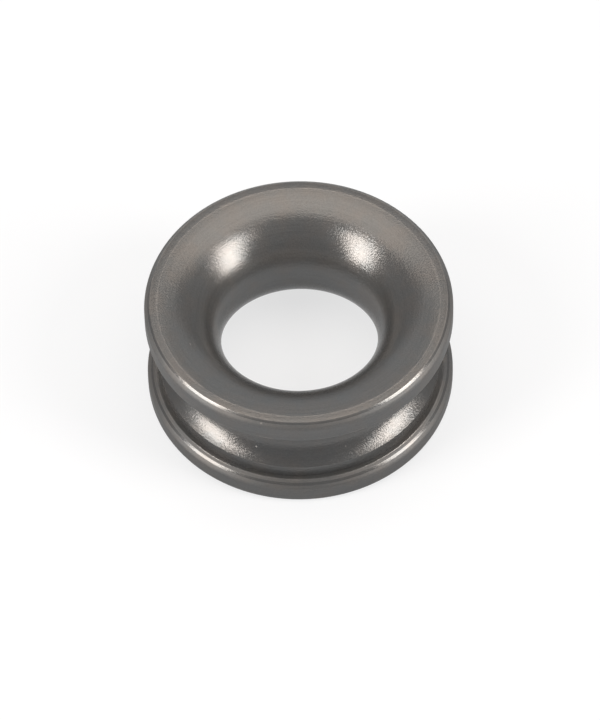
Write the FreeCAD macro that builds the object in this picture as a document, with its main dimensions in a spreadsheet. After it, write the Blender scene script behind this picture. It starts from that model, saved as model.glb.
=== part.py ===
import FreeCAD, Part

# Rope fairlead eye: a low friction ring turned in one piece from an aluminium blank.
# Z is the turning axis, and z = 0 is the lower land, the flat ring that the eye stands on.
# The section is one closed outline: a single arc for the throat, then at each end a narrow flat
# land and a rounded corner, and the outer wall between the corners.
# A round groove under the rim takes the lashing, with a plain shoulder and a flange below it.
# Rim and flange are eased alike, with a broad curve that runs into a tight one.

import math
import os

import Sketcher

# Driving sizes in millimetres and degrees, one row each: name, size, what it measures
DRIVING_SIZES = (
    ("throat_diameter", 20.0, "narrowest width of the hole, half way up"),
    ("overall_height", 16.6, "lower land to upper land"),
    ("lip_angle", 2.5, "slope of the throat where it meets a land, in degrees"),
    ("land_width", 0.95, "flat ring between the throat and the outer corner"),
    ("corner_inset", 0.7, "outer wall in to the edge of a land"),
    ("broad_radius", 2.9, "first curve of the rounding on rim and flange"),
    ("tight_radius", 0.8, "second curve of that rounding, which ends at the outer wall"),
    ("change_angle", 50.0, "slope where the two curves meet, in degrees"),
    ("lower_radius", 1.2, "rounding between the lower land and the outer wall"),
    ("rim_thickness", 3.0, "upper land down to the lower edge of the rim"),
    ("groove_outset", 0.35, "outer wall out to the centre of the groove's arc"),
    ("shoulder_inset", 1.63, "outer wall in to the shoulder"),
    ("shoulder_height", 1.83, "flange up to the lower edge of the groove"),
    ("flange_thickness", 3.6, "lower land up to the top of the flange"),
    ("flange_ledge", 0.5, "flat on top of the flange beside the shoulder"),
    ("edge_break", 0.1, "deburred lower edge of the rim"),
)

# How far the groove's outline reaches past the outer wall
RUN_OUT = 1.0

# Sizes that follow from the driving ones, as formulas on the same sheet
DERIVED_SIZES = (
    ("throat_radius", "throat_diameter / 2", "narrowest radius of the hole"),
    ("throat_arc", "overall_height / (2 * cos(lip_angle))", "radius of the throat's arc"),
    ("land_inside", "throat_radius + throat_arc * (1 - sin(lip_angle))", "throat meets land"),
    ("land_outside", "land_inside + land_width", "land meets corner"),
    ("outer_radius", "land_outside + corner_inset", "rim and flange"),
    ("change_radius", "outer_radius - tight_radius * (1 - sin(change_angle))", "curves meet"),
    ("broad_centre", "change_radius - broad_radius * sin(change_angle)", "centre of first curve"),
    ("shoulder_radius", "outer_radius - shoulder_inset", "shoulder below the groove"),
    ("shoulder_top", "flange_thickness + shoulder_height", "height of the groove's lower edge"),
    ("ledge_outside", "shoulder_radius + flange_ledge", "flange's flat meets its rounding"),
    ("underside", "overall_height - rim_thickness", "height of the groove's upper edge"),
    ("wall_bottom", "underside + edge_break", "height of the lower end of the rim's wall"),
    ("groove_centre", "outer_radius + groove_outset", "centre of the groove's arc"),
    ("upper_reach", "groove_outset + edge_break", "that centre in to the groove's upper edge"),
    ("lower_reach", "groove_outset + shoulder_inset", "that centre in to its lower edge"),
    ("groove_span", "underside - shoulder_top", "height of the groove's mouth"),
    ("groove_skew", "(lower_reach ^ 2 - upper_reach ^ 2) / groove_span",
     "how much more of the mouth lies above that centre than below it"),
    ("groove_rise", "(groove_span + groove_skew) / 2", "that centre up to the upper edge"),
    ("groove_radius", "sqrt(groove_rise ^ 2 + upper_reach ^ 2)", "round seat of the lashing"),
    ("clear_radius", f"outer_radius + {RUN_OUT}", "where the groove's outline closes"),
)

FULL_TURN = 360
QUARTER_TURN = math.pi / 2

# Which point of a sketch edge a relation takes, and the sketch's own axis and origin
START, END, CENTRE = 1, 2, 3
H_AXIS = -1
ORIGIN = (H_AXIS, START)


def make_sheet(document):
    """Write the sizes into a sheet, each cell named after its size."""
    sheet = document.addObject("Spreadsheet::Sheet", "sizes")
    rows = [(name, str(size), meaning) for name, size, meaning in DRIVING_SIZES]
    rows += [(name, f"={formula}", meaning) for name, formula, meaning in DERIVED_SIZES]
    for row, (name, content, meaning) in enumerate(rows, start=1):
        sheet.set(f"A{row}", name)
        sheet.set(f"B{row}", content)
        sheet.setAlias(f"B{row}", name)
        sheet.set(f"C{row}", meaning)
    document.recompute()
    return sheet


def add_sketch(body, name):
    """Add a sketch on the body's XZ plane, so that x is the radius and y is the height."""
    plane = next(part for part in body.Origin.OriginFeatures if part.Role == "XZ_Plane")
    sketch = body.newObject("Sketcher::SketchObject", name)
    sketch.AttachmentSupport = [(plane, "")]
    sketch.MapMode = "FlatFace"
    return sketch


def point(radius, height):
    """Return a sketch point at a radius from the axis and a height."""
    return FreeCAD.Vector(radius, height, 0)


def line(start, end):
    """Return a straight sketch edge between two points."""
    return Part.LineSegment(start, end)


def arc(centre, radius, start_angle, end_angle):
    """Return a sketch arc that runs anticlockwise between two angles in radians."""
    circle = Part.Circle(centre, FreeCAD.Vector(0, 0, 1), radius)
    return Part.ArcOfCircle(circle, start_angle, end_angle)


def relate(sketch, *constraint):
    """Add a relation without a size to a sketch."""
    sketch.addConstraint(Sketcher.Constraint(*constraint))


def bind(sketch, sheet, size_name, *constraint):
    """Add a dimension to a sketch and tie it to the size of that name on the sheet."""
    size = getattr(sheet, size_name)
    index = sketch.addConstraint(Sketcher.Constraint(*constraint, size))
    sketch.renameConstraint(index, size_name)
    sketch.setExpression(f"Constraints.{size_name}", f"sizes.{size_name}")


def draw_rounding(sketch, sheet, edge_radius, edge_height):
    """Draw the broad curve that starts at the edge of a flat and the tight one that follows.

    Returns both curves and the height at which the tight one reaches the outer wall.
    """
    change = QUARTER_TURN - math.radians(sheet.change_angle)
    broad_start = math.acos((edge_radius - sheet.broad_centre) / sheet.broad_radius)
    broad_height = edge_height - sheet.broad_radius * math.sin(broad_start)
    change_height = broad_height + sheet.broad_radius * math.sin(change)
    wall_height = change_height - sheet.tight_radius * math.sin(change)
    broad_middle = point(sheet.broad_centre, broad_height)
    tight_middle = point(sheet.outer_radius - sheet.tight_radius, wall_height)

    broad = sketch.addGeometry(arc(broad_middle, sheet.broad_radius, change, broad_start))
    tight = sketch.addGeometry(arc(tight_middle, sheet.tight_radius, 0, change))
    relate(sketch, "Tangent", broad, START, tight, END)
    bind(sketch, sheet, "broad_radius", "Radius", broad)
    bind(sketch, sheet, "tight_radius", "Radius", tight)
    bind(sketch, sheet, "broad_centre", "DistanceX", *ORIGIN, broad, CENTRE)
    return broad, tight, wall_height


def draw_ring_section(sketch, sheet):
    """Draw the closed section of the ring: the throat, two lands, two corners and the wall."""
    top = sheet.overall_height
    middle = top / 2
    outer = sheet.outer_radius
    land_inside = sheet.land_inside
    land_outside = sheet.land_outside
    lower_centre = outer - sheet.lower_radius
    lower_end = math.acos((land_outside - lower_centre) / sheet.lower_radius)
    lower_drop = sheet.lower_radius * math.sin(lower_end)
    throat_centre = point(sheet.throat_radius + sheet.throat_arc, middle)
    sweep = QUARTER_TURN - math.radians(sheet.lip_angle)
    leftward = 2 * QUARTER_TURN

    upper_land = sketch.addGeometry(line(point(land_inside, top), point(land_outside, top)))
    broad, tight, wall_top = draw_rounding(sketch, sheet, land_outside, top)
    wall = sketch.addGeometry(line(point(outer, wall_top), point(outer, lower_drop)))
    lower_corner = sketch.addGeometry(
        arc(point(lower_centre, lower_drop), sheet.lower_radius, -lower_end, 0))
    lower_land = sketch.addGeometry(line(point(land_outside, 0), point(land_inside, 0)))
    throat = sketch.addGeometry(
        arc(throat_centre, sheet.throat_arc, leftward - sweep, leftward + sweep))
    narrowest = sketch.addGeometry(Part.Point(point(sheet.throat_radius, middle)), True)

    relate(sketch, "Coincident", upper_land, END, broad, END)
    relate(sketch, "Tangent", tight, START, wall, START)
    relate(sketch, "Tangent", lower_corner, END, wall, END)
    relate(sketch, "Coincident", lower_corner, START, lower_land, START)
    relate(sketch, "Coincident", lower_land, END, throat, END)
    relate(sketch, "Coincident", throat, START, upper_land, START)
    relate(sketch, "Horizontal", upper_land)
    relate(sketch, "Horizontal", lower_land)
    relate(sketch, "Vertical", wall)
    relate(sketch, "PointOnObject", lower_land, START, H_AXIS)
    relate(sketch, "Vertical", upper_land, START, lower_land, END)
    relate(sketch, "Vertical", upper_land, END, lower_land, START)
    relate(sketch, "Horizontal", throat, CENTRE, narrowest, START)
    relate(sketch, "PointOnObject", narrowest, START, throat)

    bind(sketch, sheet, "overall_height", "DistanceY", *ORIGIN, upper_land, START)
    bind(sketch, sheet, "throat_radius", "DistanceX", *ORIGIN, narrowest, START)
    bind(sketch, sheet, "throat_arc", "Radius", throat)
    bind(sketch, sheet, "land_width", "DistanceX", upper_land, START, upper_land, END)
    bind(sketch, sheet, "corner_inset", "DistanceX", upper_land, END, wall, START)
    bind(sketch, sheet, "lower_radius", "Radius", lower_corner)


def draw_lashing_section(sketch, sheet):
    """Draw what is turned away under the rim: the groove, the shoulder and the flange's top."""
    outer = sheet.outer_radius
    outside = sheet.clear_radius
    underside = sheet.underside
    wall_bottom = sheet.wall_bottom
    flange_top = sheet.flange_thickness
    wall_end = point(outer, wall_bottom)
    groove_edge = point(outer - sheet.edge_break, underside)
    shoulder_edge = point(sheet.shoulder_radius, sheet.shoulder_top)
    shoulder_foot = point(sheet.shoulder_radius, flange_top)
    ledge_end = point(sheet.ledge_outside, flange_top)
    groove_centre = point(sheet.groove_centre, underside - sheet.groove_rise)
    from_rim = groove_edge - groove_centre
    from_shoulder = shoulder_edge - groove_centre
    rim_angle = math.atan2(from_rim.y, from_rim.x)
    shoulder_angle = math.atan2(from_shoulder.y, from_shoulder.x) % (4 * QUARTER_TURN)

    groove = sketch.addGeometry(
        arc(groove_centre, sheet.groove_radius, rim_angle, shoulder_angle))
    shoulder = sketch.addGeometry(line(shoulder_edge, shoulder_foot))
    ledge = sketch.addGeometry(line(shoulder_foot, ledge_end))
    broad, tight, wall_top = draw_rounding(sketch, sheet, sheet.ledge_outside, flange_top)
    low_line = sketch.addGeometry(line(point(outer, wall_top), point(outside, wall_top)))
    far_line = sketch.addGeometry(line(point(outside, wall_top), point(outside, wall_bottom)))
    rim_line = sketch.addGeometry(line(point(outside, wall_bottom), wall_end))
    deburred_edge = sketch.addGeometry(line(wall_end, groove_edge))

    relate(sketch, "Coincident", groove, END, shoulder, START)
    relate(sketch, "Coincident", shoulder, END, ledge, START)
    relate(sketch, "Coincident", ledge, END, broad, END)
    relate(sketch, "Coincident", tight, START, low_line, START)
    relate(sketch, "Coincident", low_line, END, far_line, START)
    relate(sketch, "Coincident", far_line, END, rim_line, START)
    relate(sketch, "Coincident", rim_line, END, deburred_edge, START)
    relate(sketch, "Coincident", deburred_edge, END, groove, START)
    relate(sketch, "Vertical", shoulder)
    relate(sketch, "Horizontal", ledge)
    relate(sketch, "Horizontal", low_line)
    relate(sketch, "Horizontal", tight, CENTRE, tight, START)
    relate(sketch, "Vertical", tight, START, deburred_edge, START)
    relate(sketch, "Vertical", far_line)
    relate(sketch, "Horizontal", rim_line)

    bind(sketch, sheet, "outer_radius", "DistanceX", *ORIGIN, deburred_edge, START)
    bind(sketch, sheet, "wall_bottom", "DistanceY", *ORIGIN, deburred_edge, START)
    bind(sketch, sheet, "edge_break", "DistanceX", groove, START, deburred_edge, START)
    bind(sketch, sheet, "underside", "DistanceY", *ORIGIN, groove, START)
    bind(sketch, sheet, "groove_centre", "DistanceX", *ORIGIN, groove, CENTRE)
    bind(sketch, sheet, "shoulder_radius", "DistanceX", *ORIGIN, shoulder, START)
    bind(sketch, sheet, "shoulder_height", "DistanceY", shoulder, END, shoulder, START)
    bind(sketch, sheet, "flange_thickness", "DistanceY", *ORIGIN, ledge, START)
    bind(sketch, sheet, "flange_ledge", "DistanceX", ledge, START, ledge, END)
    bind(sketch, sheet, "clear_radius", "DistanceX", *ORIGIN, far_line, START)


def make_fairlead_eye(document, sheet):
    """Turn the ring, then cut the groove, the shoulder and the flange's top into it."""
    body = document.addObject("PartDesign::Body", "fairlead_eye")
    body.Label = "fairlead_eye"
    body.Placement = FreeCAD.Placement()

    ring_section = add_sketch(body, "ring_section")
    draw_ring_section(ring_section, sheet)
    ring = body.newObject("PartDesign::Revolution", "turned_ring")
    ring.Profile = ring_section
    ring.ReferenceAxis = (ring_section, ["V_Axis"])
    ring.Angle = FULL_TURN
    document.recompute()

    lashing_section = add_sketch(body, "lashing_section")
    draw_lashing_section(lashing_section, sheet)
    groove = body.newObject("PartDesign::Groove", "lashing_groove")
    groove.Profile = lashing_section
    groove.ReferenceAxis = (lashing_section, ["V_Axis"])
    groove.Angle = FULL_TURN
    document.recompute()
    if groove.Shape.Volume >= ring.Shape.Volume:
        raise RuntimeError("the lashing groove took nothing away")
    return body


def check_document(document, body):
    """Stop when any object failed, a sketch is loose, or the body isn't one sound solid."""
    for item in document.Objects:
        if "Invalid" in item.State or "Error" in item.State:
            raise RuntimeError(f"{item.Name} failed: {item.State}")
        if not item.isDerivedFrom("Sketcher::SketchObject"):
            continue
        if item.solve() != 0 or not item.FullyConstrained:
            raise RuntimeError(f"{item.Name} doesn't solve or isn't fully constrained")
    shape = body.Shape
    if shape.isNull() or not shape.isValid() or len(shape.Solids) != 1:
        raise RuntimeError(f"{body.Label} isn't one valid solid")


def main():
    """Build the document and write the part."""
    document = FreeCAD.newDocument("rope_fairlead_eye")
    sheet = make_sheet(document)
    body = make_fairlead_eye(document, sheet)
    check_document(document, body)
    os.makedirs("parts", exist_ok=True)
    body.Shape.exportStep(f"parts/{body.Label}.step")
    box = body.Shape.optimalBoundingBox()
    print(f"{body.Label}: {box.XLength:.2f} x {box.YLength:.2f} x {box.ZLength:.2f} mm, "
          f"{body.Shape.Volume / 1000:.3f} cm3")


main()
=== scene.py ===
"""The finish, the light and the photograph's view of the rope fairlead eye.

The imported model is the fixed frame: Z is the turning axis, z = 0 is the land that the eye
stands on, and every length here is in metres unless its name says otherwise.
"""

import logging
import math
from dataclasses import dataclass, field
from enum import Enum

import bpy
from mathutils import Matrix, Vector


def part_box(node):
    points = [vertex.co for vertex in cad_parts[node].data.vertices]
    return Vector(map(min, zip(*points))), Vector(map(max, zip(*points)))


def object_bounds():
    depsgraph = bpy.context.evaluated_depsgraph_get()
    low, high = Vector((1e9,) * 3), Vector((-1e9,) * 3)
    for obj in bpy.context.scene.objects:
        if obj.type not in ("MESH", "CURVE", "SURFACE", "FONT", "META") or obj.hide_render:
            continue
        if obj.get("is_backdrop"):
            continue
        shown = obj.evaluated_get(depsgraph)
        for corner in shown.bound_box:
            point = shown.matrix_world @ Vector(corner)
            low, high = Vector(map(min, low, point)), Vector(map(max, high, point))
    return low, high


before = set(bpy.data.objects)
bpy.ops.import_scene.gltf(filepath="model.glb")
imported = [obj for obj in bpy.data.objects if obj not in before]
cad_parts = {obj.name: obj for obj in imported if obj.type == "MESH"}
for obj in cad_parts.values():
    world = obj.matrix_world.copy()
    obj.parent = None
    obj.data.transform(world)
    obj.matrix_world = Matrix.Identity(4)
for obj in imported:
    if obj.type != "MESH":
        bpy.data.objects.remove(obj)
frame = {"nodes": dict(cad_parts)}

LOG = logging.getLogger("fairlead_eye")

MM = 0.001
EYE_NODE = "fairlead_eye"

# The middle part of a noise pattern that a ramp spreads out, as its low and its high value
CLOUD_SPAN = (0.35, 0.65)
GRAIN_SPAN = (0.25, 0.75)
SHEEN_SPAN = (0.3, 0.7)

# A ding's ragged outline: its grains for each millimetre, its least reach and its solid core
SPECK_GRAINS = 6.0
SPECK_LEAST = 0.2
SPECK_CORE = 0.4

Colour = tuple[float, float, float]
Socket = bpy.types.NodeSocket
Value = float | Socket


class Pane(Enum):
    """The outline of a soft lamp."""

    OBLONG = "RECTANGLE"
    ROUND = "ELLIPSE"


def direction(azimuth: float, tilt: float) -> Vector:
    """Return the unit vector towards a point of the sky.

    Args:
        azimuth: degrees round the turning axis from the camera's side, positive to its right.
        tilt: degrees down from straight above.

    Returns:
        The direction in the part's frame.
    """
    around = math.radians(azimuth)
    down = math.radians(tilt)
    level = math.sin(down)
    return Vector((level * math.sin(around), -level * math.cos(around), math.cos(down)))


class Wiring:
    """Adds and joins the nodes of one shader tree."""

    def __init__(self, tree: bpy.types.NodeTree) -> None:
        """Take the tree that the nodes go into.

        Args:
            tree: a material's, a world's or a group's tree.
        """
        self.tree = tree

    def node(self, kind: str, **settings: object) -> bpy.types.Node:
        """Add one node.

        Args:
            kind: the node's type name.
            settings: the node's own properties, such as its operation.

        Returns:
            The new node.
        """
        made = self.tree.nodes.new(kind)
        for name, value in settings.items():
            setattr(made, name, value)
        return made

    def feed(self, socket: Socket, value: object) -> None:
        """Join a socket to another, or set it to a plain value.

        Args:
            socket: the input socket.
            value: an output socket, or the value to set.
        """
        if isinstance(value, bpy.types.NodeSocket):
            self.tree.links.new(value, socket)
        else:
            socket.default_value = value

    def math(self, operation: str, *values: Value) -> Socket:
        """Work out one number from others.

        Args:
            operation: the Math node's operation.
            values: its inputs in order.

        Returns:
            The result's socket.
        """
        made = self.node("ShaderNodeMath", operation=operation)
        for socket, value in zip(made.inputs, values):
            self.feed(socket, value)
        return made.outputs[0]

    def ramp(self, value: Value, start: Value, end: Value, low: Value = 0.0,
             high: Value = 1.0, smooth: bool = True) -> Socket:
        """Map a value from one range to another and keep it inside.

        Args:
            value: the value to map.
            start: where the ramp begins.
            end: where the ramp ends.
            low: the result before the start.
            high: the result past the end.
            smooth: ease in and out of the ramp.

        Returns:
            The result's socket.
        """
        shape = "SMOOTHSTEP" if smooth else "LINEAR"
        made = self.node("ShaderNodeMapRange", interpolation_type=shape)
        for socket, given in zip(made.inputs[:5], (value, start, end, low, high)):
            self.feed(socket, given)
        return made.outputs[0]

    def noise(self, vector: Socket, scale: float, detail: float = 2.0,
              roughness: float = 0.5, w: Value | None = None) -> Socket:
        """Add a noise pattern.

        Args:
            vector: where the pattern is read.
            scale: its grains for each unit of the vector.
            detail: its octaves.
            roughness: the strength of the finer octaves.
            w: the fourth coordinate, where the pattern has one.

        Returns:
            The pattern's value, from 0 to 1 with a mean of a half.
        """
        size = "3D" if w is None else "4D"
        made = self.node("ShaderNodeTexNoise", noise_dimensions=size, normalize=True)
        self.feed(made.inputs["Vector"], vector)
        if w is not None:
            self.feed(made.inputs["W"], w)
        made.inputs["Scale"].default_value = scale
        made.inputs["Detail"].default_value = detail
        made.inputs["Roughness"].default_value = roughness
        return made.outputs["Fac"]

    def blend(self, share: Value, first: object, second: object) -> Socket:
        """Blend two colours.

        Args:
            share: how much of the second colour shows.
            first: the colour under it.
            second: the colour over it.

        Returns:
            The blended colour's socket.
        """
        made = self.node("ShaderNodeMix", data_type="RGBA")
        self.feed(made.inputs["Factor"], share)
        self.feed(made.inputs["A"], first)
        self.feed(made.inputs["B"], second)
        return made.outputs["Result"]

    def group(self, shared: bpy.types.NodeTree, **inputs: object) -> bpy.types.Node:
        """Place a shared effect.

        Args:
            shared: the group.
            inputs: values for its named inputs, with underscores for spaces.

        Returns:
            The group's node.
        """
        made = self.node("ShaderNodeGroup", node_tree=shared)
        for name, value in inputs.items():
            self.feed(made.inputs[name.replace("_", " ")], value)
        return made


def new_group(name: str, inputs: dict[str, str], outputs: dict[str, str],
              ) -> tuple[Wiring, bpy.types.Node, bpy.types.Node]:
    """Start a shared effect.

    Args:
        name: the group's name.
        inputs: its input sockets, each name with its socket type.
        outputs: its output sockets, likewise.

    Returns:
        The group's wiring, its input node and its output node.
    """
    tree = bpy.data.node_groups.new(name, "ShaderNodeTree")
    for way, sockets in (("INPUT", inputs), ("OUTPUT", outputs)):
        for label, kind in sockets.items():
            tree.interface.new_socket(label, in_out=way, socket_type=kind)
    wiring = Wiring(tree)
    return wiring, wiring.node("NodeGroupInput"), wiring.node("NodeGroupOutput")


@dataclass(frozen=True)
class SoftLamp:
    """A soft box that faces the eye, given by the piece of sky that it fills."""

    name: str
    pane: Pane
    azimuth: float
    tilt: float
    wide_degrees: float
    high_degrees: float
    strength: float
    tint: Colour
    reach: float = 1.0

    def build(self, target: Vector) -> bpy.types.Object:
        """Hang the lamp and turn it to the target.

        Args:
            target: the point that the lamp faces.

        Returns:
            The lamp's object.
        """
        lamp = bpy.data.lights.new(self.name, "AREA")
        lamp.shape = self.pane.value
        lamp.size = 2 * self.reach * math.tan(math.radians(self.wide_degrees / 2))
        lamp.size_y = 2 * self.reach * math.tan(math.radians(self.high_degrees / 2))
        area = lamp.size * lamp.size_y
        if self.pane is Pane.ROUND:
            area *= math.pi / 4
        lamp.energy = math.pi * area * self.strength
        lamp.color = self.tint
        obj = bpy.data.objects.new(self.name, lamp)
        towards = direction(self.azimuth, self.tilt)
        obj.location = target + towards * self.reach
        obj.rotation_euler = (-towards).to_track_quat("-Z", "Y").to_euler()
        bpy.context.scene.collection.objects.link(obj)
        LOG.info("lamp %s at azimuth %.0f, tilt %.0f", self.name, self.azimuth, self.tilt)
        return obj


@dataclass
class Studio:
    """The plain pale floor, the soft lamps and the room's own even light."""

    warm: Colour = (1.0, 0.94, 0.88)
    amber: Colour = (1.0, 0.885, 0.78)
    cool: Colour = (0.94, 0.98, 1.0)
    floor_colour: Colour = (0.62, 0.65, 0.69)
    floor_white: float = 0.70
    floor_side: float = 6.0
    floor_roughness: float = 0.9
    room_colour: Colour = (0.95, 0.98, 1.03)
    room_strength: float = 0.265
    lamps: list[SoftLamp] = field(default_factory=list)

    def __post_init__(self) -> None:
        """Set out the lamps, unless others are given."""
        if not self.lamps:
            self.lamps = [
                SoftLamp("overhead_box", Pane.ROUND, 180, 8.5, 82, 52, 2.04, self.amber),
                SoftLamp("left_strip", Pane.OBLONG, -67, 63, 22, 44, 11.0, self.warm),
                SoftLamp("right_strip", Pane.OBLONG, 71, 62, 22, 44, 11.0, self.warm),
                SoftLamp("back_fill", Pane.OBLONG, 180, 63, 60, 44, 0.5, self.cool),
            ]

    def build(self, target: Vector) -> None:
        """Lay the floor, light the room and hang the lamps.

        Args:
            target: the point that the lamps face.
        """
        self.lay_floor()
        self.light_room()
        for lamp in self.lamps:
            lamp.build(target)

    def lay_floor(self) -> None:
        """Lay a wide pale floor under the eye."""
        half = self.floor_side / 2
        mesh = bpy.data.meshes.new("floor")
        corners = [(-half, -half, 0), (half, -half, 0), (half, half, 0), (-half, half, 0)]
        mesh.from_pydata(corners, [], [(0, 1, 2, 3)])
        floor = bpy.data.objects.new("floor", mesh)
        bpy.context.scene.collection.objects.link(floor)
        mesh.materials.append(self.floor_paper())
        floor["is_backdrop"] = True

    def floor_paper(self) -> bpy.types.Material:
        """Make the floor's white paper, which keeps part of the eye's shadow.

        Returns:
            The material.
        """
        material = bpy.data.materials.new("floor_paper")
        material.use_nodes = True
        wiring = Wiring(material.node_tree)
        surface = material.node_tree.nodes["Principled BSDF"]
        surface.inputs["Base Color"].default_value = (*self.floor_colour, 1)
        surface.inputs["Roughness"].default_value = self.floor_roughness
        surface.inputs["Specular IOR Level"].default_value = 0.0
        white = wiring.node("ShaderNodeEmission")
        white.inputs["Strength"].default_value = 1.0
        rays = wiring.node("ShaderNodeLightPath")
        seen = rays.outputs["Is Camera Ray"]
        for other in ("Is Glossy Ray", "Is Transmission Ray"):
            seen = wiring.math("MAXIMUM", seen, rays.outputs[other])
        share = wiring.math("MULTIPLY", seen, self.floor_white)
        mixed = wiring.node("ShaderNodeMixShader")
        wiring.feed(mixed.inputs[0], share)
        wiring.feed(mixed.inputs[1], surface.outputs["BSDF"])
        wiring.feed(mixed.inputs[2], white.outputs["Emission"])
        end = material.node_tree.nodes["Material Output"]
        wiring.feed(end.inputs["Surface"], mixed.outputs["Shader"])
        return material

    def light_room(self) -> None:
        """Give the room an even light of its own."""
        world = bpy.data.worlds.new("room")
        world.use_nodes = True
        background = world.node_tree.nodes["Background"]
        background.inputs["Color"].default_value = (*self.room_colour, 1)
        background.inputs["Strength"].default_value = self.room_strength
        bpy.context.scene.world = world


@dataclass
class PhotographView:
    """The camera where the photograph was taken from, above the eye's near side."""

    elevation: float = 54.28
    roll: float = 1.49
    distance: float = 0.78382
    lens: float = 304.6
    sensor: float = 36.0
    frame_width: int = 600
    frame_height: int = 720
    nearest: float = 0.05
    farthest: float = 50.0
    anchor_height: float = 0.688 * MM
    anchor_across: float = 300.45
    anchor_down: float = 374.0

    def build(self) -> bpy.types.Object:
        """Set up the camera so that the anchor point falls on its pixel.

        Returns:
            The camera's object.
        """
        up_angle = math.radians(self.elevation)
        back = Vector((0, -math.cos(up_angle), math.sin(up_angle)))
        level_up = Vector((0, math.sin(up_angle), math.cos(up_angle)))
        level_right = Vector((1, 0, 0))
        turn = math.radians(self.roll)
        right = level_right * math.cos(turn) - level_up * math.sin(turn)
        up = level_right * math.sin(turn) + level_up * math.cos(turn)
        pixels = self.lens / self.sensor * max(self.frame_width, self.frame_height)
        across = (self.anchor_across - self.frame_width / 2) / pixels
        down = (self.anchor_down - self.frame_height / 2) / pixels
        forward = (-back - right * across + up * down).normalized()
        right = (right - forward * right.dot(forward)).normalized()
        up = right.cross(forward)
        data = bpy.data.cameras.new("photograph_view")
        data.lens = self.lens
        data.sensor_width = self.sensor
        data.sensor_fit = "AUTO"
        data.clip_start = self.nearest
        data.clip_end = self.farthest
        camera = bpy.data.objects.new("photograph_view", data)
        turned = Matrix((right, up, -forward)).transposed().to_4x4()
        place = Vector((0, 0, self.anchor_height)) + back * self.distance
        camera.matrix_world = Matrix.Translation(place) @ turned
        bpy.context.scene.collection.objects.link(camera)
        bpy.context.scene.camera = camera
        LOG.info("camera %s, %.0f mm from the eye", camera.name, self.distance / MM)
        return camera


@dataclass(frozen=True)
class Speck:
    """A small ding in the coat, placed on the surface in millimetres."""

    name: str
    place: tuple[float, float, float]
    size: float
    brightness: float


def speck_group() -> bpy.types.NodeTree:
    """Make the shared effect that marks one ragged spot of the surface.

    Returns:
        The group, whose output is 1 inside the spot and 0 away from it.
    """
    wiring, given, result = new_group(
        "speck",
        {"Place": "NodeSocketVector", "Centre": "NodeSocketVector", "Size": "NodeSocketFloat"},
        {"Mask": "NodeSocketFloat"},
    )
    distance = wiring.node("ShaderNodeVectorMath", operation="DISTANCE")
    wiring.feed(distance.inputs[0], given.outputs["Place"])
    wiring.feed(distance.inputs[1], given.outputs["Centre"])
    ragged = wiring.noise(given.outputs["Place"], SPECK_GRAINS, detail=1.0)
    share = wiring.math("ADD", ragged, SPECK_LEAST)
    reach = wiring.math("MULTIPLY", given.outputs["Size"], share)
    inner = wiring.math("MULTIPLY", reach, SPECK_CORE)
    wiring.feed(result.inputs["Mask"], wiring.ramp(distance.outputs["Value"], reach, inner))
    return wiring.tree


def edge_group() -> bpy.types.NodeTree:
    """Make the shared effect that marks one turned edge, for the coat's rubbing there and a painted
    highlight.

    Returns:
        The group, whose output is 1 on the edge and 0 away from it.
    """
    wiring, given, result = new_group(
        "worn_and_highlit_edge",
        {"Radius": "NodeSocketFloat", "Height": "NodeSocketFloat", "Edge Radius": "NodeSocketFloat",
         "Edge Height": "NodeSocketFloat", "Width": "NodeSocketFloat", "Breakup": "NodeSocketFloat"},
        {"Mask": "NodeSocketFloat"},
    )
    across = wiring.math("SUBTRACT", given.outputs["Radius"], given.outputs["Edge Radius"])
    upward = wiring.math("SUBTRACT", given.outputs["Height"], given.outputs["Edge Height"])
    squares = [wiring.math("MULTIPLY", step, step) for step in (across, upward)]
    distance = wiring.math("SQRT", wiring.math("ADD", *squares))
    reach = wiring.math("MULTIPLY", given.outputs["Width"], given.outputs["Breakup"])
    wiring.feed(result.inputs["Mask"], wiring.ramp(distance, reach, 0.0))
    return wiring.tree


@dataclass(frozen=True)
class Rounding:
    """The matt rounding of a rim, with one polished line along it.

    Each place is a distance in from the outer wall, in millimetres.
    """

    start: float
    line: float
    half_line: float


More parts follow.
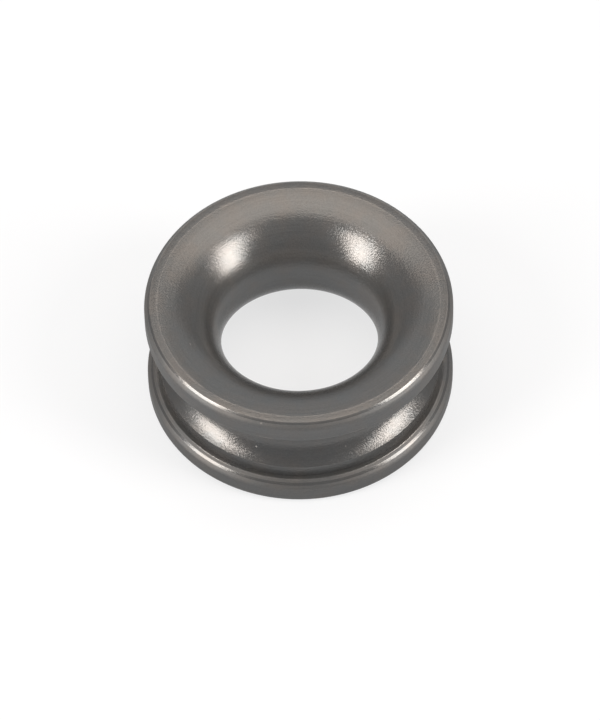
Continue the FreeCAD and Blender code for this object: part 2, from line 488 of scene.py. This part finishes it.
@dataclass(frozen=True)
class HardAnodise:
    """The satin dark grey hard coat over the turned aluminium.

    Lengths are in millimetres, because the pattern is read in millimetres.
    """

    name: str = "hard_anodised_aluminium"
    cool: Colour = (0.118, 0.1205, 0.1215)
    warm: Colour = (0.1255, 0.122, 0.119)
    # Lighter coat along the turned edges: partly rubbing, partly a painted highlight
    worn_and_highlight: Colour = (0.26, 0.25, 0.24)
    edge_tint: Colour = (0.4, 0.4, 0.4)
    metallic: float = 0.70
    roughness: float = 0.19
    roughness_spread: float = 0.08
    matt_roughness: float = 0.56
    matt_tone: float = 0.88
    matt_blend: float = 0.06
    rim: Rounding = Rounding(0.72, 0.57, 0.11)
    flange: Rounding = Rounding(1.10, 0.58, 0.12)
    haze: float = 0.4
    haze_roughness: float = 0.55
    mottle_size: float = 2.6
    cloud_size: float = 1.3
    cloud_shift: tuple[float, float, float] = (31.0, 47.0, 13.0)
    grain_size: float = 0.215
    grain_tone: float = 0.24
    grain_height: float = 0.028
    rim_grain: float = 0.3
    rim_blend: float = 0.8
    line_pitch: float = 0.20
    line_turns: float = 1.6
    line_tone: float = 0.16
    line_height: float = 0.009
    # Painted shade: the coat is darker outside below the rim, most of all high in the groove
    painted_shade_low: float = 6.5
    painted_shade_high: float = 8.2
    painted_shade_tone: float = 0.72
    painted_shade_share: float = 0.35
    groove_radius: float = 14.5
    # Painted light: the throat's coat is lighter in two bands, above and below its waist
    painted_light_offset: float = 3.3
    painted_light_width: float = 1.8
    painted_light_tone: float = 1.4
    speck_depth: float = 0.02
    wear_width: float = 0.16
    wear_least: float = 0.4
    wear_most: float = 1.6
    wear_and_highlight_share: float = 0.35
    wear_polish: float = 0.08

    def build(self, edges: dict[str, tuple[float, float]], specks: list[Speck],
              ) -> bpy.types.Material:
        """Make the material.

        Args:
            edges: the turned edges that carry rubbing and a painted highlight, each a radius and a
                height.
            specks: the dings.

        Returns:
            The material.
        """
        material = bpy.data.materials.new(self.name)
        material.use_nodes = True
        wiring = Wiring(material.node_tree)
        surface = material.node_tree.nodes["Principled BSDF"]
        place, radius, height, shifted = self.lay_out(wiring)
        grain = wiring.noise(place, 1 / self.grain_size, detail=2.0, roughness=0.6)
        lines = self.turning_lines(wiring, place, radius, height)
        mottle = wiring.noise(place, 1 / self.mottle_size, detail=3.0)
        cloud = wiring.noise(shifted, 1 / self.cloud_size, detail=2.0)
        wear_and_highlight = self.wear_and_highlight(wiring, radius, height, mottle, edges)
        marks = self.marks(wiring, place, specks)
        bands = self.bands(wiring, radius, height, edges)
        matt = self.matt(wiring, radius, height, edges)
        wiring.feed(surface.inputs["Base Color"],
                    self.colour(wiring, grain, lines, mottle, bands, matt, wear_and_highlight, marks))
        wiring.feed(surface.inputs["Roughness"], self.sheen(wiring, grain, cloud, wear_and_highlight, matt))
        surface.inputs["Metallic"].default_value = self.metallic
        surface.inputs["Specular Tint"].default_value = (*self.edge_tint, 1)
        surface.inputs["Coat Weight"].default_value = self.haze
        surface.inputs["Coat Roughness"].default_value = self.haze_roughness
        wiring.feed(surface.inputs["Normal"],
                    self.relief(wiring, grain, lines, radius, edges["upper_land"][0], marks))
        return material

    def lay_out(self, wiring: Wiring) -> tuple[Socket, Socket, Socket, Socket]:
        """Read the point of the surface in millimetres.

        Args:
            wiring: the material's wiring.

        Returns:
            The point, its radius from the axis, its height, and the point shifted
            for a second pattern.
        """
        scaled = wiring.node("ShaderNodeVectorMath", operation="SCALE")
        wiring.feed(scaled.inputs[0], wiring.node("ShaderNodeTexCoord").outputs["Object"])
        scaled.inputs["Scale"].default_value = 1 / MM
        place = scaled.outputs["Vector"]
        parts = wiring.node("ShaderNodeSeparateXYZ")
        wiring.feed(parts.inputs[0], place)
        squares = [wiring.math("MULTIPLY", parts.outputs[axis], parts.outputs[axis])
                   for axis in ("X", "Y")]
        radius = wiring.math("SQRT", wiring.math("ADD", *squares))
        shifted = wiring.node("ShaderNodeVectorMath", operation="ADD")
        wiring.feed(shifted.inputs[0], place)
        shifted.inputs[1].default_value = self.cloud_shift
        return place, radius, parts.outputs["Z"], shifted.outputs["Vector"]

    def turning_lines(self, wiring: Wiring, place: Socket, radius: Socket,
                      height: Socket) -> Socket:
        """Draw the fine lines that the lathe left round the axis.

        Args:
            wiring: the material's wiring.
            place: the point of the surface.
            radius: its distance from the axis.
            height: its height.

        Returns:
            The lines' value, from 0 to 1.
        """
        parts = wiring.node("ShaderNodeSeparateXYZ")
        wiring.feed(parts.inputs[0], place)
        around = [wiring.math("MULTIPLY", wiring.math("DIVIDE", parts.outputs[axis], radius),
                              self.line_turns) for axis in ("X", "Y")]
        joined = wiring.node("ShaderNodeCombineXYZ")
        wiring.feed(joined.inputs["X"], around[0])
        wiring.feed(joined.inputs["Y"], around[1])
        wiring.feed(joined.inputs["Z"], wiring.math("DIVIDE", radius, self.line_pitch))
        along = wiring.math("DIVIDE", height, self.line_pitch)
        return wiring.noise(joined.outputs["Vector"], 1.0, detail=1.5, roughness=0.6, w=along)

    def wear_and_highlight(self, wiring: Wiring, radius: Socket, height: Socket, breakup: Socket,
             edges: dict[str, tuple[float, float]]) -> Socket:
        """Mark the coat's rubbing along the turned edges, together with a painted highlight on them.

        Args:
            wiring: the material's wiring.
            radius: the point's distance from the axis.
            height: its height.
            breakup: the pattern that makes the mark uneven.
            edges: the edges, each a radius and a height.

        Returns:
            The mark of rubbing and painted highlight, from 0 to 1.
        """
        shared = edge_group()
        uneven = wiring.ramp(breakup, *CLOUD_SPAN, self.wear_least, self.wear_most)
        total: Value = 0.0
        for edge_radius, edge_height in edges.values():
            edge = wiring.group(shared, Radius=radius, Height=height, Edge_Radius=edge_radius,
                                Edge_Height=edge_height, Width=self.wear_width, Breakup=uneven)
            total = wiring.math("MAXIMUM", total, edge.outputs["Mask"])
        return wiring.math("MULTIPLY", total, self.wear_and_highlight_share)

    def bands(self, wiring: Wiring, radius: Socket, height: Socket,
              edges: dict[str, tuple[float, float]]) -> Socket:
        """Paint shade into the coat outside below the rim, most of all high in the groove, and paint
        light into two bands on the throat.

        Args:
            wiring: the material's wiring.
            radius: the point's distance from the axis.
            height: its height.
            edges: the turned edges, which give the rim's underside and the eye's top.

        Returns:
            The tone of the coat, 1 where it is neither.
        """
        # Painted shade below the rim, strongest high in the groove close under it
        outside = wiring.math("GREATER_THAN", radius, self.groove_radius)
        below = wiring.math("LESS_THAN", height, edges["rim"][1])
        depth = wiring.ramp(height, self.painted_shade_low, self.painted_shade_high, self.painted_shade_share)
        painted_shade = wiring.math("MULTIPLY", wiring.math("MULTIPLY", outside, below), depth)
        # Painted light: two lighter bands on the throat, above and below its waist
        middle = edges["upper_land"][1] / 2
        offset = wiring.math("ABSOLUTE", wiring.math("SUBTRACT", height, middle))
        away = wiring.math("ABSOLUTE", wiring.math("SUBTRACT", offset, self.painted_light_offset))
        rubbed_and_painted_light = wiring.math("MULTIPLY", wiring.ramp(away, self.painted_light_width, 0.0),
                             wiring.math("SUBTRACT", 1.0, outside))
        shade = wiring.math("MULTIPLY", painted_shade, self.painted_shade_tone - 1)
        shine = wiring.math("MULTIPLY", rubbed_and_painted_light, self.painted_light_tone - 1)
        return wiring.math("ADD", wiring.math("ADD", shade, shine), 1.0)

    def matt(self, wiring: Wiring, radius: Socket, height: Socket,
             edges: dict[str, tuple[float, float]]) -> Socket:
        """Mark the roundings of the rim and the flange, beside the polished line of each.

        Args:
            wiring: the material's wiring.
            radius: the point's distance from the axis.
            height: its height.
            edges: the turned edges, which give the outer wall and the eye's top.

        Returns:
            The mask, 1 where the coat is matt.
        """
        outer = edges["rim"][0]
        masks = []
        for rounding in (self.rim, self.flange):
            start = outer - rounding.start
            begun = wiring.ramp(radius, start, start + self.matt_blend)
            away = wiring.math("ABSOLUTE", wiring.math("SUBTRACT", radius, outer - rounding.line))
            beside = wiring.ramp(away, rounding.half_line, rounding.half_line + self.matt_blend)
            masks.append(wiring.math("MULTIPLY", begun, beside))
        above = wiring.math("GREATER_THAN", height, edges["upper_land"][1] / 2)
        extra = wiring.math("MULTIPLY", above, wiring.math("SUBTRACT", *masks))
        return wiring.math("ADD", masks[1], extra)

    def marks(self, wiring: Wiring, place: Socket, specks: list[Speck],
              ) -> list[tuple[Speck, Socket]]:
        """Mark the dings.

        Args:
            wiring: the material's wiring.
            place: the point of the surface.
            specks: the dings.

        Returns:
            Each ding with its mask.
        """
        shared = speck_group()
        marked = []
        for speck in specks:
            spot = wiring.group(shared, Place=place, Centre=speck.place, Size=speck.size)
            marked.append((speck, spot.outputs["Mask"]))
        return marked

    def colour(self, wiring: Wiring, grain: Socket, lines: Socket, mottle: Socket,
               bands: Socket, matt: Socket, wear_and_highlight: Socket,
               marks: list[tuple[Speck, Socket]]) -> Socket:
        """Mix the coat's colour.

        Args:
            wiring: the material's wiring.
            grain: the fine grain.
            lines: the turning lines.
            mottle: the soft clouds between cooler and warmer grey.
            bands: the painted shade below the rim and the painted light on the throat.
            matt: the matt roundings, which are a shade darker.
            wear_and_highlight: the rubbing along the edges, with its painted highlight.
            marks: the dings with their masks.

        Returns:
            The colour's socket.
        """
        share = wiring.ramp(mottle, *CLOUD_SPAN)
        tint = wiring.blend(share, (*self.cool, 1), (*self.warm, 1))
        grained, lined = (
            wiring.ramp(pattern, *GRAIN_SPAN, 1 - depth / 2, 1 + depth / 2, smooth=False)
            for pattern, depth in ((grain, self.grain_tone), (lines, self.line_tone))
        )
        dulled = wiring.ramp(matt, 0.0, 1.0, bands, wiring.math("MULTIPLY", bands, self.matt_tone),
                             smooth=False)
        tone = wiring.math("MULTIPLY", wiring.math("MULTIPLY", grained, lined), dulled)
        shaded = wiring.node("ShaderNodeVectorMath", operation="SCALE")
        wiring.feed(shaded.inputs[0], tint)
        wiring.feed(shaded.inputs["Scale"], tone)
        # Lighter turned edges: partly the coat's rubbing, partly a painted highlight
        mixed = wiring.blend(wear_and_highlight, shaded.outputs["Vector"], (*self.worn_and_highlight, 1))
        for speck, mask in marks:
            level = tuple(speck.brightness * part for part in self.worn_and_highlight)
            mixed = wiring.blend(mask, mixed, (*level, 1))
        return mixed

    def sheen(self, wiring: Wiring, grain: Socket, cloud: Socket, wear_and_highlight: Socket,
              matt: Socket) -> Socket:
        """Vary the roughness with the grain, in soft clouds, along the edges and on the rims.

        Args:
            wiring: the material's wiring.
            grain: the fine grain.
            cloud: the soft clouds.
            wear_and_highlight: the rubbing along the edges, which leaves them smoother.
            matt: the matt roundings.

        Returns:
            The roughness' socket.
        """
        low = self.roughness - self.roughness_spread / 2
        high = self.roughness + self.roughness_spread / 2
        both = wiring.math("MULTIPLY", wiring.math("ADD", grain, cloud), 0.5)
        base = wiring.ramp(both, *SHEEN_SPAN, low, high, smooth=False)
        rubbed_and_painted_light = wiring.math("SUBTRACT", base, wiring.math("MULTIPLY", wear_and_highlight, self.wear_polish))
        return wiring.ramp(matt, 0.0, 1.0, rubbed_and_painted_light, self.matt_roughness, smooth=False)

    def relief(self, wiring: Wiring, grain: Socket, lines: Socket, radius: Socket,
               rim_radius: float, marks: list[tuple[Speck, Socket]]) -> Socket:
        """Raise the grain and the lines a little, less on the rims, and sink the dings.

        Args:
            wiring: the material's wiring.
            grain: the fine grain.
            lines: the turning lines.
            radius: the point's distance from the axis.
            rim_radius: where the smoother rims begin.
            marks: the dings with their masks.

        Returns:
            The normal's socket.
        """
        depth = wiring.ramp(radius, rim_radius - self.rim_blend, rim_radius,
                            self.grain_height, self.grain_height * self.rim_grain)
        level = wiring.math("ADD", wiring.math("MULTIPLY", grain, depth),
                            wiring.math("MULTIPLY", lines, self.line_height))
        for _, mask in marks:
            level = wiring.math("SUBTRACT", level, wiring.math("MULTIPLY", mask, self.speck_depth))
        bump = wiring.node("ShaderNodeBump")
        bump.inputs["Distance"].default_value = MM
        wiring.feed(bump.inputs["Height"], level)
        return bump.outputs["Normal"]


@dataclass
class FairleadEye:
    """The eye itself: one turned piece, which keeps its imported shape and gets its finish.

    The insets and heights are in millimetres, from the outer wall and from the ground.
    """

    finish: HardAnodise = field(default_factory=HardAnodise)
    land_inset: float = 0.70
    mouth_inset: float = 1.65
    ledge_inset: float = 1.13
    flange_top: float = 3.60
    rim_bottom: float = 13.65
    specks: list[Speck] = field(default_factory=lambda: [
        Speck("land_dot", (-13.82, -5.85, 15.92), 0.20, 1.0),
        Speck("rim_nick_left", (-9.06, -17.04, 16.02), 0.26, 0.7),
        Speck("rim_nick", (-5.08, -18.52, 16.2), 0.30, 0.7),
        Speck("groove_dot_left", (-5.85, -15.40, 6.74), 0.20, 0.8),
        Speck("groove_dot_right", (5.52, -15.62, 6.57), 0.18, 0.7),
    ])

    def edges(self) -> dict[str, tuple[float, float]]:
        """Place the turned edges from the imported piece's own size.

        Returns:
            Each edge's radius and height in millimetres.
        """
        low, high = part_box(EYE_NODE)
        outer = (high[0] - low[0]) / 2 / MM
        top = high[2] / MM
        return {
            "upper_land": (outer - self.land_inset, top),
            "upper_mouth": (outer - self.mouth_inset, top),
            "rim": (outer, self.rim_bottom),
            "ledge": (outer - self.ledge_inset, self.flange_top),
            "lower_land": (outer - self.land_inset, 0.0),
            "lower_mouth": (outer - self.mouth_inset, 0.0),
        }

    def dress(self, nodes: dict[str, bpy.types.Object]) -> bpy.types.Object:
        """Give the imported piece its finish.

        Args:
            nodes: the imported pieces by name.

        Returns:
            The eye's object.
        """
        eye = nodes[EYE_NODE]
        material = self.finish.build(self.edges(), self.specks)
        for slot in eye.material_slots:
            slot.link = "OBJECT"
            slot.material = material
        LOG.info("piece %s dressed in %s", eye.name, self.finish.name)
        return eye


def corners() -> list[list[float]]:
    """Return the lowest and the highest corner of what is shown, as plain numbers."""
    return [[float(value) for value in corner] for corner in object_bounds()]


def main() -> None:
    """Dress the eye, light it and look at it from the photograph's place."""
    logging.basicConfig(level=logging.INFO, format="%(name)s: %(message)s")
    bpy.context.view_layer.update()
    FairleadEye().dress(frame["nodes"])
    low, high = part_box(EYE_NODE)
    Studio().build((low + high) / 2)
    PhotographView().build()
    bpy.context.scene.view_settings.view_transform = "Standard"


if __name__ == "__main__":
    main()
